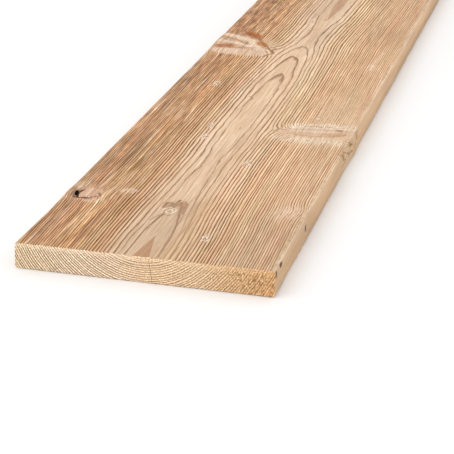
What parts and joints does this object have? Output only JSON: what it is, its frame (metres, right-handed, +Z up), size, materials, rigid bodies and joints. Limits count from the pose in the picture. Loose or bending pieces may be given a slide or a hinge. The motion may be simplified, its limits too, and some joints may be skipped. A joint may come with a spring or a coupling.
{
  "type": "softwood plank",
  "caption": "Long flat softwood board with a brushed top face, eased long arrises, square sawn ends, knots and a small knot hole, used as cladding, shelf or floor stock.",
  "frame": {"origin": "middle of the underside, half way along the length and across the width", "axes": "+X across the width to the right of the front end, +Y along the length away from the front end, +Z up through the thickness"},
  "size_m": [0.195, 2, 0.02],
  "materials": {
    "wood": "brushed, unfinished softwood"
  },
  "bodies": {
    "root": {"plank": "wood"}
  },
  "joints": []
}
